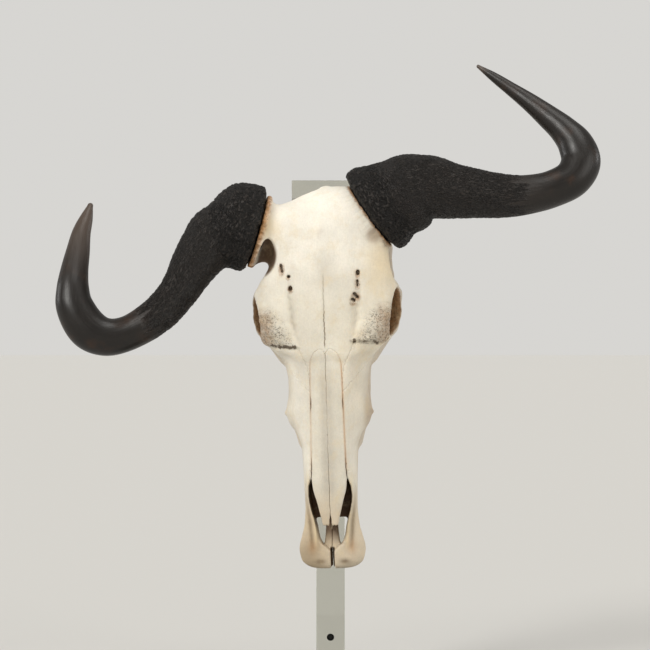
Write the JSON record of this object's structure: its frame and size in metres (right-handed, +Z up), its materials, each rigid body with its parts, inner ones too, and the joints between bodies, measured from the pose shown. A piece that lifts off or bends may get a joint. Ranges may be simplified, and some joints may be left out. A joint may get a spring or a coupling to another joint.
{
  "type": "wildebeest skull",
  "caption": "Blue wildebeest skull without lower jaw, wide skewed black horns, held upright on a see-through post with a flat base.",
  "frame": {"origin": "centre of the base plate's underside, on the surface that it stands on", "axes": "+Z up, the face looks along -Y, and the animal's left side is at +X"},
  "size_m": [0.6454, 0.25, 0.7669],
  "materials": {
    "bone": "dry cream bone, darker tan at the muzzle and horn rims",
    "horn": "black-brown horn, bark-like at the base, polished towards the tips",
    "acrylic": "clear to lightly smoked acrylic with polished edges",
    "painted_steel": "satin black paint"
  },
  "bodies": {
    "root": {"nasal_right": "bone", "nasal_left": "bone", "premaxilla_right": "bone", "premaxilla_left": "bone", "maxilla_right": "bone", "maxilla_left": "bone", "zygomatic_right": "bone", "zygomatic_left": "bone", "cranium": "bone", "horn_right": "horn", "horn_left": "horn", "stand_base": "painted_steel", "stand_post": "acrylic", "stand_plate": "acrylic", "stand_peg_palate": "painted_steel", "stand_peg_nuchal": "painted_steel"}
  },
  "joints": []
}
